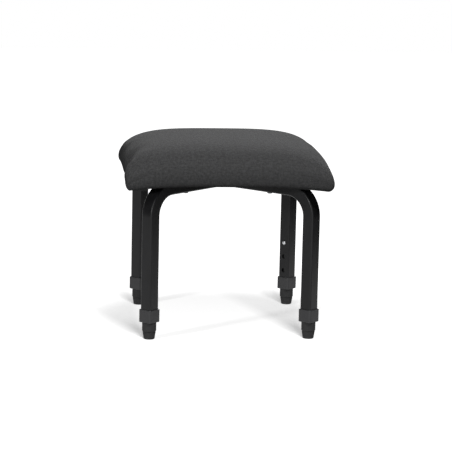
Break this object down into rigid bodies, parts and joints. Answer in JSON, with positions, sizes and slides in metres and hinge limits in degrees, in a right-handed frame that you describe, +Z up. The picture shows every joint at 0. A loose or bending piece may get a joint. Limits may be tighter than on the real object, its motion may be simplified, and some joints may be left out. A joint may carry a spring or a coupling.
{
  "type": "musician stool",
  "caption": "Backless stool with a thick crowned fabric seat on a crossed square-tube frame, and telescopic legs that sprung buttons lock at the chosen seat height.",
  "frame": {"origin": "on the floor under the middle of the seat", "axes": "+Z up, -Y towards the front of the seat in the picture, +X to the right seen from the front"},
  "size_m": [0.3956, 0.3926, 0.3749],
  "materials": {
    "cover_fabric": "matte",
    "pad_foam": "matte",
    "board_wood": "matte",
    "dust_cloth": "matte",
    "frame_paint": "satin",
    "collar_plastic": "matte",
    "foot_rubber": "matte",
    "bright_steel": "satin",
    "screw_steel": "satin"
  },
  "bodies": {
    "frame": {"frame_tube_through": "frame_paint", "frame_arm_front_right": "frame_paint", "frame_arm_rear_left": "frame_paint", "leg_collar_front_left": "collar_plastic", "leg_collar_front_right": "collar_plastic", "leg_collar_rear_left": "collar_plastic", "leg_collar_rear_right": "collar_plastic", "seat_cover": "cover_fabric", "seat_foam": "pad_foam", "seat_board": "board_wood", "dust_cover": "dust_cloth", "seat_screw_front_left": "screw_steel", "seat_screw_front_right": "screw_steel", "seat_screw_rear_left": "screw_steel", "seat_screw_rear_right": "screw_steel", "t_nut_front_left": "bright_steel", "t_nut_front_right": "bright_steel", "t_nut_rear_left": "bright_steel", "t_nut_rear_right": "bright_steel"},
    "leg_front_left": {"inner_leg_front_left": "frame_paint", "guide_plug_front_left": "collar_plastic", "rubber_foot_front_left": "foot_rubber", "foot_washer_front_left": "bright_steel"},
    "leg_front_right": {"inner_leg_front_right": "frame_paint", "guide_plug_front_right": "collar_plastic", "rubber_foot_front_right": "foot_rubber", "foot_washer_front_right": "bright_steel"},
    "leg_rear_left": {"inner_leg_rear_left": "frame_paint", "guide_plug_rear_left": "collar_plastic", "rubber_foot_rear_left": "foot_rubber", "foot_washer_rear_left": "bright_steel"},
    "leg_rear_right": {"inner_leg_rear_right": "frame_paint", "guide_plug_rear_right": "collar_plastic", "rubber_foot_rear_right": "foot_rubber", "foot_washer_rear_right": "bright_steel"},
    "button_front_left": {"snap_button_front_left": "bright_steel"},
    "button_front_right": {"snap_button_front_right": "bright_steel"},
    "button_rear_left": {"snap_button_rear_left": "bright_steel"},
    "button_rear_right": {"snap_button_rear_right": "bright_steel"}
  },
  "joints": [
    {"name": "leg_slide_front_left", "type": "slide", "parent": "frame", "child": "leg_front_left", "axis": [0, 0, -1], "range_m": [0, 0.058]},
    {"name": "leg_slide_front_right", "type": "slide", "parent": "frame", "child": "leg_front_right", "axis": [0, 0, -1], "range_m": [0, 0.058]},
    {"name": "leg_slide_rear_left", "type": "slide", "parent": "frame", "child": "leg_rear_left", "axis": [0, 0, -1], "range_m": [0, 0.058]},
    {"name": "leg_slide_rear_right", "type": "slide", "parent": "frame", "child": "leg_rear_right", "axis": [0, 0, -1], "range_m": [0, 0.058]},
    {"name": "button_press_front_left", "type": "slide", "parent": "leg_front_left", "child": "button_front_left", "axis": [-0.7071, -0.7071, 0], "range_m": [0, 0.005], "stiffness_N_per_m": 1500, "springref_m": -0.001, "deforming": ["snap_button_front_left"]},
    {"name": "button_press_front_right", "type": "slide", "parent": "leg_front_right", "child": "button_front_right", "axis": [0.7071, -0.7071, 0], "range_m": [0, 0.005], "stiffness_N_per_m": 1500, "springref_m": -0.001, "deforming": ["snap_button_front_right"]},
    {"name": "button_press_rear_left", "type": "slide", "parent": "leg_rear_left", "child": "button_rear_left", "axis": [-0.7071, 0.7071, 0], "range_m": [0, 0.005], "stiffness_N_per_m": 1500, "springref_m": -0.001, "deforming": ["snap_button_rear_left"]},
    {"name": "button_press_rear_right", "type": "slide", "parent": "leg_rear_right", "child": "button_rear_right", "axis": [0.7071, 0.7071, 0], "range_m": [0, 0.005], "stiffness_N_per_m": 1500, "springref_m": -0.001, "deforming": ["snap_button_rear_right"]}
  ]
}
